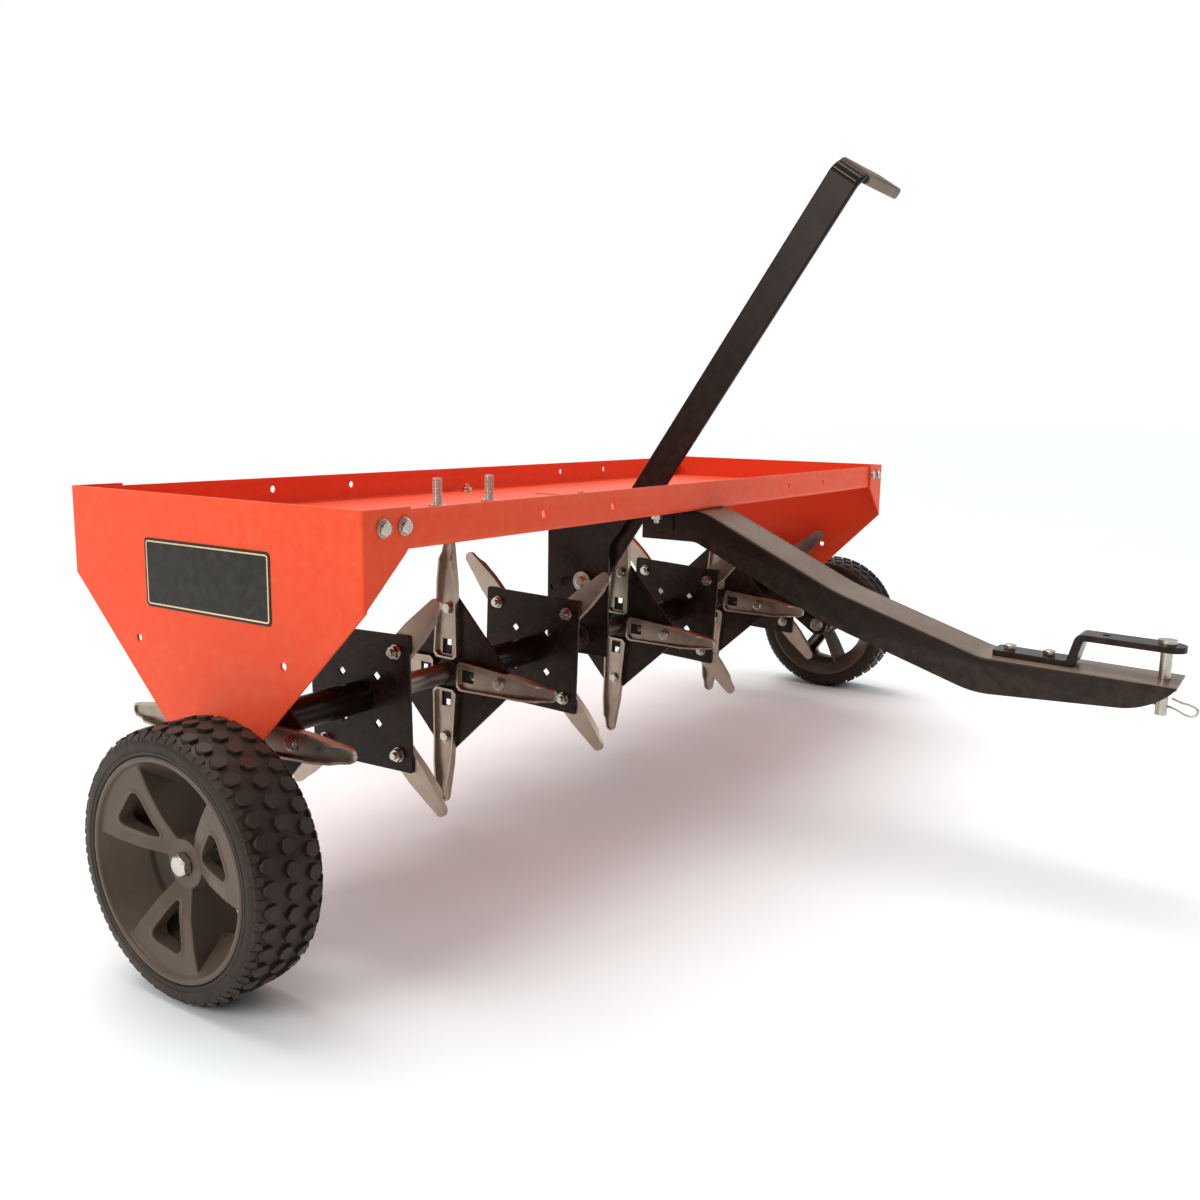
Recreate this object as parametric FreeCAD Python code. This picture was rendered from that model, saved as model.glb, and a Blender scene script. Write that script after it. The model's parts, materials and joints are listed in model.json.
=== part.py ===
import FreeCAD, Part
import math
import os

V = FreeCAD.Vector

# Tow-behind core aerator, millimetres.  +X along the machine's width, -Y towards the hitch, +Z up.
# The parts are drawn about the middle of the tray (y = 0) on the ground (z = 0).  At the end they all
# move along Y by one amount, which puts the origin under the middle of the whole machine's box.

# ---- driving dimensions: tray and end panels
panel_face_x = 652.3        # outer face of each end panel
sheet = 3.0                 # 11 gauge steel
panel_half_depth = 218.5    # front and rear flange faces
panel_top_z = 443.8
panel_shoulder_z = 354.5    # below this the panel tapers at 45 degrees
panel_bottom_z = 175.0
flange_width = 60.0
rail_top_z = 441.3
rail_bottom_z = 404.0
tray_floor_z = 407.0
front_hole_z = 422.8
rear_hole_z = 426.7
rail_hole_x = (247.3, 383.2)
rail_hole_r = 4.5
panel_hole_y = 110.6
panel_hole_z = 290.4
panel_hole_r = 4.2
badge_size = (190.0, 71.0)
badge_z = 362.0
lever_slot_x = (10.5, 25.5)
lever_slot_y = (-126.0, 96.0)
tongue_bolt_xy = (78.0, -175.0)
hanger_bolt_xy = ((-30.0, -20.0), (-30.0, 190.0))
stud_x = (-311.0, -211.0)
stud_y = 0.0
stud_r = 6.0

# ---- driving dimensions: rock shaft, tine spools and hanger
axle_y = 2.9
axle_z = 200.5
shaft_r = 9.5
shaft_half_length = 696.0
fit_gap = 0.08              # radial gap of a running fit
plate_x = (615.0, 443.0, 288.0, 114.5)
plate_half = 79.3
tine_bolt_radius = 84.3
tine_hole_radius = 34.5
tine_hole_size = (19.0, 15.6)
tine_root_half = 19.0       # half widths at the root, the knee and the tip
tine_knee = (118.0, 14.5)
tine_tip_half = 8.0
tine_wall = 2.6
plate_hole_radius = 39.5
plate_hole_size = 8.7
plate_corner_r = 2.5
tine_root_radius = 19.5
tine_tip_radius = 172.0
spool_tube_r = 18.5
spacer_r = 13.0
spool_rest_deg = (-1.4, 1.8, 3.1, 2.6)
hanger_x = (2.5, 6.5)
hanger_y = (-48.2, 60.3)
lift_range_deg = 40.0       # travel of the lift lever, from transport back to work
slot_spare_deg = 10.0       # the lock slot runs this much further forward
hanger_flange = 4.0
slot_half_width = 5.6
bushing_r = 15.0
bushing_flange_r = 20.0
bushing_flange = 2.5
crank_x = (22.0, 28.0)
crank_hub_x = (16.0, 46.0)
crank_hub_r = 19.0
crank_rim_r = 101.0
crank_rim_deg = (112.0, 96.0, 80.0, 64.0, 46.0)
crank_bolt_2 = (24.0, 238.7)
spool_cap = 2.5

# ---- driving dimensions: wheels and arms
wheel_y = -94.8
wheel_z = 127.0
tyre_r = 127.0
tyre_x = (702.7, 778.7)
rim_r = 103.4
arm_x = (684.0, 690.0)
hub_x = (712.0, 757.0)
wheel_bolt_r = 6.35
hub_r = 19.0
hub_bore = 10.0
barrel_r = 97.5
waist_r = 74.0
tyre_bead = 3.2
spoke_angles = (38.0, 158.0, 278.0)
spoke_half_angle = 30.0
spoke_wall = 8.0
spoke_skin = 4.0
rim_width = tyre_x[1] - tyre_x[0]

# ---- driving dimensions: lever
lever_x = (14.0, 22.0)
lever_width = 43.0
lever_tilt_deg = 34.3       # forward of vertical
lever_bolt = (-7.0, 284.5)
lever_bend_z = 833.0        # top of the bend
grip_length = 116.0
roller_x = (-6.4, 2.2)

# ---- driving dimensions: tongue and hitch
tongue_width = 80.0
tongue_rear_y = -130.0
tongue_depth = 42.0
nose_depth = 30.0           # the side walls taper to this at the hitch
tongue_nose = (-798.0, 251.5)
strap_width = 38.0
strap_thick = 7.0
pin_y = -781.0
pin_r = 6.35
strap_bolt_y = (-616.0, -660.0)
spare_hole_y = -719.0
spare_hole_r = 4.5

# ---- driving dimensions: fasteners
small_bolt_r = 4.0
small_nut_af = 13.0
floor_bolt_r = 4.0
clamp_bolt_r = 5.0
cross_bolt_r = 3.0


def box(low, high):
    """A box from its lowest to its highest corner."""
    size = [b - a for a, b in zip(low, high)]
    return Part.makeBox(size[0], size[1], size[2], V(*low))


def rod(centre, axis, radius, length):
    """A cylinder that starts at centre and runs along axis."""
    return Part.makeCylinder(radius, length, V(*centre), V(*axis))


def ring(centre, axis, outer, inner, length):
    """A round tube."""
    far = [a * -1.0 for a in axis]
    start = V(*centre) + V(*far)
    return rod(centre, axis, outer, length).cut(Part.makeCylinder(inner, length + 2.0, start, V(*axis)))


def rounded_wire(points, radii):
    """A closed wire through points with its corners rounded by the given radii."""
    count = len(points)
    if not isinstance(radii, (list, tuple)):
        radii = [radii] * count
    ends = []
    for i, corner in enumerate(points):
        before = (points[i - 1] - corner)
        after = (points[(i + 1) % count] - corner)
        u = V(before).normalize()
        w = V(after).normalize()
        half = u.getAngle(w) / 2.0
        radius = radii[i]
        if radius <= 0.0:
            ends.append((corner, None, corner))
            continue
        cut = radius / math.tan(half)
        middle = V(u + w).normalize()
        bulge = corner + middle * (radius / math.sin(half) - radius)
        ends.append((corner + u * cut, bulge, corner + w * cut))
    edges = []
    for i, (start, bulge, end) in enumerate(ends):
        if bulge is not None:
            edges.append(Part.Arc(start, bulge, end).toShape())
        nxt = ends[(i + 1) % count][0]
        if end.distanceToPoint(nxt) > 1e-6:
            edges.append(Part.LineSegment(end, nxt).toShape())
    return Part.Wire(edges)


def plate_yz(points, radii, x_low, x_high):
    """A flat plate square to X, from its outline as (y, z) points."""
    wire = rounded_wire([V(x_low, y, z) for y, z in points], radii)
    return Part.Face(wire).extrude(V(x_high - x_low, 0, 0))


def plate_xz(points, radii, y_low, y_high):
    """A flat plate square to Y, from its outline as (x, z) points."""
    wire = rounded_wire([V(x, y_low, z) for x, z in points], radii)
    return Part.Face(wire).extrude(V(0, y_high - y_low, 0))


def prism(centre, axis, across_flats, length, turn=0.0):
    """A hexagonal prism that starts at centre and runs along axis."""
    axis = V(*axis)
    side = V(0, 0, 1) if abs(axis.z) < 0.9 else V(1, 0, 0)
    corner = across_flats / math.sqrt(3.0)
    turned = FreeCAD.Rotation(axis, turn)
    points = []
    for i in range(6):
        spin = FreeCAD.Rotation(axis, 60.0 * i)
        points.append(V(*centre) + turned.multVec(spin.multVec(side * corner)))
    return Part.Face(Part.makePolygon(points + [points[0]])).extrude(axis * length)


def bolt(under_head, axis, radius, length, across_flats, head, flange=0.0):
    """A hex bolt.  The shank runs along axis from under the head."""
    back = [-a for a in axis]
    shape = rod(under_head, axis, radius, length)
    crown = V(*under_head) + V(*back) * head
    crowned = prism(under_head, back, across_flats, head)
    dome = Part.makeSphere(across_flats * 1.02, crown + V(*axis) * (across_flats * 0.94))
    shape = shape.fuse(crowned.common(dome))
    if flange > 0.0:
        shape = shape.fuse(rod(under_head, back, flange, 1.6))
    return shape.removeSplitter()


def nut(face, axis, radius, across_flats, height, flange=0.0):
    """A hex nut that sits on face and stands along axis."""
    shape = prism(face, axis, across_flats, height)
    if flange > 0.0:
        shape = shape.fuse(rod(face, axis, flange, 1.6))
    hole = rod((V(*face) - V(*axis)), axis, radius + fit_gap, height + 2.0)
    return shape.cut(hole).removeSplitter()


def turned_x(shape, degrees, y=axle_y, z=axle_z):
    """The shape turned about a line along X."""
    copy = shape.copy()
    copy.rotate(V(0, y, z), V(1, 0, 0), degrees)
    return copy


def mirrored_x(shape):
    """The shape on the other side of the machine."""
    return shape.mirror(V(0, 0, 0), V(1, 0, 0))


def both_sides(shape):
    return [shape, mirrored_x(shape)]


def revolve_x(points, y, z):
    """A solid turned about a line along X, from a profile of (x, radius) points."""
    outline = [V(x, y, z + r) for x, r in points]
    face = Part.Face(Part.makePolygon(outline + [outline[0]]))
    return face.revolve(V(0, y, z), V(1, 0, 0), 360)


# ---------------------------------------------------------------- tray and end panels
def tray():
    """The weight tray: a floor with a front and a rear rail."""
    inner_x = panel_face_x - sheet
    half = panel_half_depth - sheet
    outer = [V(-inner_x, -half, rail_top_z), V(-inner_x, -half, rail_bottom_z),
             V(-inner_x, half, rail_bottom_z), V(-inner_x, half, rail_top_z),
             V(-inner_x, half - sheet, rail_top_z), V(-inner_x, half - sheet, tray_floor_z),
             V(-inner_x, -half + sheet, tray_floor_z), V(-inner_x, -half + sheet, rail_top_z)]
    bend = [0.0, 5.0, 5.0, 0.0, 0.0, 2.0, 2.0, 0.0]
    shape = Part.Face(rounded_wire(outer, bend)).extrude(V(2.0 * inner_x, 0, 0))
    cutters = []
    for x in rail_hole_x:
        for side in (-1.0, 1.0):
            cutters.append(rod((side * x, -half - 1.0, front_hole_z), (0, 1, 0), rail_hole_r, sheet + 2.0))
            cutters.append(rod((side * x, half - sheet - 1.0, rear_hole_z), (0, 1, 0), rail_hole_r, sheet + 2.0))
    (x0, x1), (y0, y1) = lever_slot_x, lever_slot_y
    slot = [V(x, y, rail_bottom_z - 1.0) for x, y in ((x0, y0), (x1, y0), (x1, y1), (x0, y1))]
    cutters.append(Part.Face(rounded_wire(slot, 4.0)).extrude(V(0, 0, sheet + 2.0)))
    for x, y in floor_bolts():
        cutters.append(rod((x, y, rail_bottom_z - 1.0), (0, 0, 1), floor_bolt_r + 0.3, sheet + 2.0))
    for x, z in panel_bolts_xz():
        cutters.append(rod((x, -half - 1.0, z), (0, 1, 0), small_bolt_r + 0.3, sheet + 2.0))
        cutters.append(rod((x, half - sheet - 1.0, z), (0, 1, 0), small_bolt_r + 0.3, sheet + 2.0))
    return shape.cut(Part.makeCompound(cutters))


def floor_bolts():
    """Places of the bolts that pass through the tray's floor."""
    x, y = tongue_bolt_xy
    places = [(-x, y), (x, y)] + list(hanger_bolt_xy)
    return places + tongue_floor_bolts()


def tongue_floor_bolts():
    """The two bolts through the tongue's own top."""
    return [(-20.0, -160.0), (20.0, -160.0)]


def panel_bolts_xz():
    """Flange bolts of both end panels, seen from the front."""
    places = []
    for side in (-1.0, 1.0):
        places += [(side * 628.0, 426.5), (side * 601.0, 426.5)]
    return places


def end_panel():
    """The left end panel: a tapered side sheet folded over at the front and the rear."""
    x_out = -panel_face_x
    x_in = x_out + sheet
    tip = x_out + flange_width
    half = panel_half_depth
    toe = half - (panel_shoulder_z - panel_bottom_z)
    height = panel_top_z - panel_bottom_z
    section = [(tip, -half), (x_out, -half), (x_out, half), (tip, half),
               (tip, half - sheet), (x_in, half - sheet), (x_in, sheet - half), (tip, sheet - half)]
    bends = [0.0, 3.0, 3.0, 0.0, 0.0, 0.0, 0.0, 0.0]
    folded = Part.Face(rounded_wire([V(x, y, panel_bottom_z) for x, y in section], bends))
    shape = folded.extrude(V(0, 0, height))
    side = [(half + 1.0, panel_top_z), (half + 1.0, panel_shoulder_z - 1.0), (toe, panel_bottom_z),
            (-toe, panel_bottom_z), (-half - 1.0, panel_shoulder_z - 1.0), (-half - 1.0, panel_top_z)]
    shape = shape.common(plate_yz(side, [0.0, 0.0, 10.0, 10.0, 0.0, 0.0], x_out - 1.0, tip + 1.0))
    front = [(x_out - 1.0, panel_bottom_z - 1.0), (x_in, panel_bottom_z - 1.0), (x_in, panel_shoulder_z),
             (tip - 4.0, rail_bottom_z), (tip, panel_top_z), (x_out - 1.0, panel_top_z)]
    shape = shape.common(plate_xz(front, [0.0, 0.0, 0.0, 6.0, 0.0, 0.0], -half - 1.0, half + 1.0))
    cutters = [rod((x_out - 1.0, axle_y, axle_z), (1, 0, 0), bushing_r + 0.02, sheet + 2.0)]
    for y in (-panel_hole_y, panel_hole_y):
        cutters.append(rod((x_out - 1.0, y, panel_hole_z), (1, 0, 0), panel_hole_r, sheet + 2.0))
    for x, z in panel_bolts_xz()[:2]:
        for y_low in (-half, half - sheet):
            cutters.append(rod((x, y_low - 1.0, z), (0, 1, 0), small_bolt_r + 0.3, sheet + 2.0))
    return shape.cut(Part.makeCompound(cutters)).removeSplitter()


def badge():
    """A plain label plate on the end panel."""
    half_y = badge_size[0] / 2.0
    half_z = badge_size[1] / 2.0
    middle_y = -2.0
    outline = [(middle_y - half_y, badge_z - half_z), (middle_y + half_y, badge_z - half_z),
               (middle_y + half_y, badge_z + half_z), (middle_y - half_y, badge_z + half_z)]
    return plate_yz(outline, 5.0, -panel_face_x - 0.8, -panel_face_x)


def panel_bolts():
    """Flanged hex bolts through panel flange and rail, heads outside."""
    shapes = []
    for x, z in panel_bolts_xz():
        for side in (-1.0, 1.0):
            head_face = (x, side * panel_half_depth, z)
            shapes.append(bolt(head_face, (0, -side, 0), small_bolt_r, 18.0, small_nut_af, 5.5, 8.5))
    return shapes


def panel_nuts():
    shapes = []
    for x, z in panel_bolts_xz():
        for side in (-1.0, 1.0):
            seat = (x, side * (panel_half_depth - 2.0 * sheet), z)
            shapes.append(nut(seat, (0, -side, 0), small_bolt_r, small_nut_af, 7.0, 8.5))
    return shapes


# ---------------------------------------------------------------- hanger, bushings and shaft


def hanger():
    """The centre hanger: a plate with an arc slot for the lever's bolt, and a flange under the tray."""
    low_y, high_y = hanger_y
    top = rail_bottom_z
    outline = [(low_y, panel_bottom_z), (high_y, panel_bottom_z), (high_y, top),
               (-88.0, top), (-88.0, 392.0), (low_y, 340.0)]
    radii = [2.0, 2.0, 0.0, 0.0, 6.0, 30.0]
    web = plate_yz(outline, radii, hanger_x[0], hanger_x[1])
    flange = box((-48.0, -88.0, top - hanger_flange), (hanger_x[1], 205.0, top))
    web = web.fuse(flange)
    cutters = [rod((hanger_x[0] - 1.0, axle_y, axle_z), (1, 0, 0), bushing_r + 0.02, 6.0), lock_slot()]
    for x, y in hanger_bolt_xy:
        cutters.append(rod((x, y, top - 5.0), (0, 0, 1), floor_bolt_r + 0.3, 6.0))
    return web.cut(Part.makeCompound(cutters)).removeSplitter()


def lock_slot():
    """The arc slot, centred on the shaft, that the lever's clamp bolt runs in."""
    arm_y = lever_bolt[0] - axle_y
    arm_z = lever_bolt[1] - axle_z
    radius = math.hypot(arm_y, arm_z)
    start = math.degrees(math.atan2(arm_z, arm_y))
    ends = (start - lift_range_deg, start + slot_spare_deg)
    low_x = hanger_x[0] - 1.0
    depth = hanger_x[1] - hanger_x[0] + 2.0
    outer = Part.makeCylinder(radius + slot_half_width, depth, V(low_x, axle_y, axle_z), V(1, 0, 0))
    inner = Part.makeCylinder(radius - slot_half_width, depth, V(low_x, axle_y, axle_z), V(1, 0, 0))
    band = outer.cut(inner)
    reach = 2.0 * radius
    wedge_points = [V(low_x, axle_y, axle_z)]
    for angle in ends:
        turn = math.radians(angle)
        wedge_points.append(V(low_x, axle_y + reach * math.cos(turn), axle_z + reach * math.sin(turn)))
    wedge = Part.Face(Part.makePolygon(wedge_points + [wedge_points[0]])).extrude(V(depth, 0, 0))
    slot = band.common(wedge)
    for angle in ends:
        turn = math.radians(angle)
        end = (low_x, axle_y + radius * math.cos(turn), axle_z + radius * math.sin(turn))
        slot = slot.fuse(rod(end, (1, 0, 0), slot_half_width, depth))
    return slot.removeSplitter()


def flanged_bushing(x_face, direction, barrel, bore=shaft_r + fit_gap):
    """A nylon bushing.  Its flange stands outward from x_face; its barrel runs along direction."""
    flange = rod((x_face, axle_y, axle_z), (-direction, 0, 0), bushing_flange_r, bushing_flange)
    body = rod((x_face, axle_y, axle_z), (direction, 0, 0), bushing_r, barrel)
    hole = rod((x_face - 30.0, axle_y, axle_z), (1, 0, 0), bore, 60.0)
    return flange.fuse(body).cut(hole).removeSplitter()


def shaft_bushings():
    """One in each end panel and one in the hanger."""
    side = flanged_bushing(-panel_face_x, 1, 10.0)
    return [side, mirrored_x(side), flanged_bushing(hanger_x[0], 1, 8.0)]


def rock_shaft():
    """The cross shaft that the spools turn on and that the lift lever rocks."""
    shape = rod((-shaft_half_length, axle_y, axle_z), (1, 0, 0), shaft_r, 2.0 * shaft_half_length)
    ends = [e for e in shape.Edges if e.Length < 4.0 * math.pi * shaft_r and e.Closed]
    shape = shape.makeChamfer(1.0, ends)
    cutters = [rod((x, axle_y, axle_z - 30.0), (0, 0, 1), cross_bolt_r + 0.1, 60.0) for x in cross_bolt_x()]
    return shape.cut(Part.makeCompound(cutters))


def cross_bolt_x():
    """Where the clamp bolts cross the shaft: both wheel arms and the lift crank."""
    return (-668.0, 38.0, 668.0)


def shaft_bolts():
    shapes = []
    for x in cross_bolt_x():
        shapes.append(bolt((x, axle_y, axle_z + 20.0), (0, 0, -1), cross_bolt_r, 48.0, 10.0, 4.2))
    return shapes


def shaft_nuts():
    return [nut((x, axle_y, axle_z - 20.0), (0, 0, -1), cross_bolt_r, 10.0, 5.5) for x in cross_bolt_x()]


def shaft_spacers():
    """Loose tubes that keep the spools, the hanger and the end panels apart."""
    half_plate = sheet / 2.0
    cap = spool_cap + 0.3
    inner = [plate_x[3] - half_plate - cap, plate_x[2] + half_plate + cap]
    outer = [plate_x[1] - half_plate - cap, plate_x[0] + half_plate + cap]
    runs = [(-outer[0], -inner[1]), (inner[1], outer[0])]
    runs += [(-inner[0], hanger_x[0] - bushing_flange - 0.3), (crank_hub_x[1] + 0.3, inner[0])]
    end_face = panel_face_x - 10.0 - 0.3
    runs += [(-end_face, -outer[1]), (outer[1], end_face)]
    tubes = []
    for low, high in runs:
        tubes.append(ring((low, axle_y, axle_z), (1, 0, 0), spacer_r, shaft_r + 0.4, high - low))
    return tubes


# ---------------------------------------------------------------- lift lever and wheel arms


def lift_crank():
    """Plate and split hub that carry the lever on the shaft."""
    hub = rod((crank_hub_x[0], axle_y, axle_z), (1, 0, 0), crank_hub_r, crank_hub_x[1] - crank_hub_x[0])
    points = [(axle_y - crank_hub_r, axle_z)]
    for angle in crank_rim_deg:
        turn = math.radians(angle)
        points.append((axle_y + crank_rim_r * math.cos(turn), axle_z + crank_rim_r * math.sin(turn)))
    points.append((axle_y + crank_hub_r, axle_z))
    web = plate_yz(points, [0.0] + [6.0] * len(crank_rim_deg) + [0.0], crank_x[0], crank_x[1])
    shape = hub.fuse(web)
    cutters = [rod((0.0, axle_y, axle_z), (1, 0, 0), shaft_r + 0.01, 60.0)]
    for y, z in (lever_bolt, crank_bolt_2):
        cutters.append(rod((crank_x[0] - 1.0, y, z), (1, 0, 0), clamp_bolt_r + 0.2, 10.0))
    cutters.append(rod((cross_bolt_x()[1], axle_y, axle_z - 30.0), (0, 0, 1), cross_bolt_r + 0.1, 60.0))
    return shape.cut(Part.makeCompound(cutters)).removeSplitter()


def lever_axes():
    """Unit vectors along the lever and across its width, in the (y, z) plane."""
    tilt = math.radians(lever_tilt_deg)
    along = V(0, -math.sin(tilt), math.cos(tilt))
    across = V(0, -math.cos(tilt), -math.sin(tilt))
    return along, across


def lift_lever():
    """A flat bar with rounded edges whose top bends over sideways to carry the grip."""
    along, across = lever_axes()
    thick = lever_x[1] - lever_x[0]
    start = V(lever_x[0], lever_bolt[0], lever_bolt[1]) - along * 66.0
    length = (lever_bend_z - start.z) / along.z
    bend_r = 12.0
    straight = length - bend_r - thick
    half = lever_width / 2.0
    section = [start - across * half, start + across * half,
               start + across * half + V(thick, 0, 0), start - across * half + V(thick, 0, 0)]
    face = Part.Face(rounded_wire(section, 2.6))
    bar = face.extrude(along * straight)
    top = face.copy()
    top.translate(along * straight)
    pivot = start + along * straight + V(thick + bend_r, 0, 0)
    bend = top.revolve(pivot, across, -90.0)
    end = top.copy()
    end.rotate(pivot, across, -90.0)
    tang = end.extrude(V(grip_length - 6.0, 0, 0))
    shape = bar.fuse(bend).fuse(tang).removeSplitter()
    cutters = []
    for y, z in (lever_bolt, crank_bolt_2):
        cutters.append(rod((lever_x[0] - 1.0, y, z), (1, 0, 0), clamp_bolt_r + 0.2, thick + 2.0))
    return shape.cut(Part.makeCompound(cutters)).removeSplitter()


def grip_frame():
    """Centre of the grip's root, with the directions of its length, width and thickness."""
    along, across = lever_axes()
    thick = lever_x[1] - lever_x[0]
    start = V(lever_x[0], lever_bolt[0], lever_bolt[1]) - along * 66.0
    length = (lever_bend_z - start.z) / along.z
    middle = start + along * (length - thick / 2.0)
    root = V(lever_x[1] + 12.0, middle.y, middle.z)
    return root, V(1, 0, 0), across, along


def lever_grip():
    """The moulded grip that slips over the lever's bent end."""
    root, out, across, up = grip_frame()
    thick = lever_x[1] - lever_x[0]
    half_width = lever_width / 2.0 + 3.0
    half_thick = thick / 2.0 + 3.2
    section = [root - across * half_width - up * half_thick, root + across * half_width - up * half_thick,
               root + across * half_width + up * half_thick, root - across * half_width + up * half_thick]
    solid = Part.Face(rounded_wire(section, 6.4)).extrude(out * grip_length)
    outline = [root - across * (half_width + 1), root + across * (half_width + 1),
               root + across * (half_width + 1) + out * grip_length,
               root - across * (half_width + 1) + out * grip_length]
    outline = [p - up * 20.0 for p in outline]
    plan = Part.Face(rounded_wire(outline, [0.0, 0.0, 16.0, 16.0])).extrude(up * 40.0)
    solid = solid.common(plan)
    hole_w = lever_width / 2.0 + 0.02
    hole_t = thick / 2.0 + 0.02
    pocket = [root - across * hole_w - up * hole_t, root + across * hole_w - up * hole_t,
              root + across * hole_w + up * hole_t, root - across * hole_w + up * hole_t]
    pocket = [p - out for p in pocket]
    return solid.cut(Part.Face(rounded_wire(pocket, 2.6)).extrude(out * (grip_length - 4.0)))


def lever_bolts():
    """The clamp bolt that runs in the hanger's slot, and the second bolt at the crank."""
    y, z = lever_bolt
    first = bolt((roller_x[0], y, z), (1, 0, 0), clamp_bolt_r, crank_x[1] - roller_x[0] + 11.0, 14.0, 6.0)
    y, z = crank_bolt_2
    second = bolt((lever_x[0], y, z), (1, 0, 0), clamp_bolt_r, crank_x[1] - lever_x[0] + 11.0, 14.0, 4.0)
    return [first, second]


def lever_nuts():
    places = (lever_bolt, crank_bolt_2)
    return [nut((crank_x[1], y, z), (1, 0, 0), clamp_bolt_r, 16.0, 9.0, 10.5) for y, z in places]


def clamp_roller():
    """The round zinc thrust roller on the near side of the hanger, and the sleeve on its far side."""
    y, z = lever_bolt
    near = ring((roller_x[0], y, z), (1, 0, 0), 15.0, clamp_bolt_r + 0.1, roller_x[1] - roller_x[0])
    far_start = hanger_x[1] + 0.3
    far = ring((far_start, y, z), (1, 0, 0), 13.0, clamp_bolt_r + 0.1, lever_x[0] - far_start)
    return [near, far]


def wheel_arm():
    """The left wheel arm: a split hub on the shaft, a plate and a boss for the wheel bolt."""
    arm = math.hypot(wheel_y - axle_y, wheel_z - axle_z)
    turn = math.degrees(math.atan2(wheel_z - axle_z, wheel_y - axle_y))
    low, high = -arm_x[1], -arm_x[0]
    big, small = 24.0, 20.0
    side = math.sqrt(arm * arm - (big - small) ** 2)
    drop = (big - small) / arm
    rise = side / arm
    points = []
    for sign in (1.0, -1.0):
        points.append((big * drop, sign * big * rise))
        points.append((arm + small * drop, sign * small * rise))
    outline = [V(low, *points[i]) for i in (0, 1, 3, 2)]
    bar = Part.Face(Part.makePolygon(outline + [outline[0]])).extrude(V(high - low, 0, 0))
    bar = bar.fuse(rod((low, 0, 0), (1, 0, 0), big, high - low))
    bar = bar.fuse(rod((low, arm, 0), (1, 0, 0), small, high - low))
    bar.rotate(V(0, 0, 0), V(1, 0, 0), turn)
    bar.translate(V(0, axle_y, axle_z))
    hub = rod((low, axle_y, axle_z), (1, 0, 0), 20.0, arm_x[1] - panel_face_x - bushing_flange - 0.3)
    boss = rod((-hub_x[0] + 0.5, wheel_y, wheel_z), (1, 0, 0), 14.0, hub_x[0] - 0.5 - arm_x[0])
    shape = bar.fuse(hub).fuse(boss)
    cutters = [rod((-720.0, axle_y, axle_z), (1, 0, 0), shaft_r + 0.01, 120.0),
               rod((-720.0, wheel_y, wheel_z), (1, 0, 0), wheel_bolt_r + 0.05, 120.0),
               rod((cross_bolt_x()[0], axle_y, axle_z - 30.0), (0, 0, 1), cross_bolt_r + 0.1, 60.0)]
    return shape.cut(Part.makeCompound(cutters)).removeSplitter()


def wheel_bolts():
    """Hex axle bolts.  Each passes through the wheel and the boss of its arm."""
    head_face = -hub_x[1] - 0.5
    length = -head_face - arm_x[0] + 13.0
    return both_sides(bolt((head_face, wheel_y, wheel_z), (1, 0, 0), wheel_bolt_r, length, 19.0, 8.0))


def wheel_nuts():
    return both_sides(nut((-arm_x[0], wheel_y, wheel_z), (1, 0, 0), wheel_bolt_r, 19.0, 10.0, 12.5))


# ---------------------------------------------------------------- wheels


def wheel_revolve(profile):
    """A solid of the left wheel, from (depth behind the outer face, radius) points."""
    return revolve_x([(-tyre_x[1] + depth, r) for depth, r in profile], wheel_y, wheel_z)


def tyre():
    """The left tyre: a solid ring with rounded shoulders and a bead on each side."""
    middle = -(tyre_x[0] + tyre_x[1]) / 2.0
    half = rim_width / 2.0
    bead = half - tyre_bead - 0.3
    profile = [(-bead, barrel_r + 0.1), (-bead, rim_r + 0.3), (-half, rim_r + 0.3), (-half, 112.0),
               (-half + 1.5, 120.0), (-half + 7.0, 125.3), (-half + 14.0, tyre_r)]
    profile += [(-x, r) for x, r in reversed(profile)]
    return revolve_x([(middle + x, r) for x, r in profile], wheel_y, wheel_z)


def sector(angle, half_angle, inner, outer, inset=0.0):
    """A wedge of the left wheel, through its whole width, with its flat sides moved in by inset."""
    reach = outer / math.cos(math.radians(half_angle)) + 20.0
    tip = inset / math.sin(math.radians(half_angle))
    spread = math.radians(half_angle)
    x_low = -tyre_x[1] - 5.0
    points = [V(x_low, wheel_y + tip, wheel_z),
              V(x_low, wheel_y + tip + reach * math.cos(spread), wheel_z - reach * math.sin(spread)),
              V(x_low, wheel_y + tip + reach * math.cos(spread), wheel_z + reach * math.sin(spread))]
    depth = rim_width + 10.0
    wedge = Part.Face(Part.makePolygon(points + [points[0]])).extrude(V(depth, 0, 0))
    wedge = wedge.common(rod((x_low, wheel_y, wheel_z), (1, 0, 0), outer, depth))
    if inner > 0.0:
        wedge = wedge.cut(rod((x_low, wheel_y, wheel_z), (1, 0, 0), inner, depth))
    return turned_x(wedge, angle, wheel_y, wheel_z)


def window(angle, grow):
    """A rounded triangle through one spoke, with its apex at the hub."""
    x_low = -tyre_x[1] - 5.0
    corners = [V(x_low, wheel_y + 31.0 - 1.9 * grow, wheel_z),
               V(x_low, wheel_y + 77.0 + grow, wheel_z - 25.0 - 1.6 * grow),
               V(x_low, wheel_y + 77.0 + grow, wheel_z + 25.0 + 1.6 * grow)]
    prism_yz = Part.Face(rounded_wire(corners, [3.5 + grow, 7.0 + grow, 7.0 + grow])).extrude(V(45.0, 0, 0))
    return turned_x(prism_yz, angle, wheel_y, wheel_z)


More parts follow.
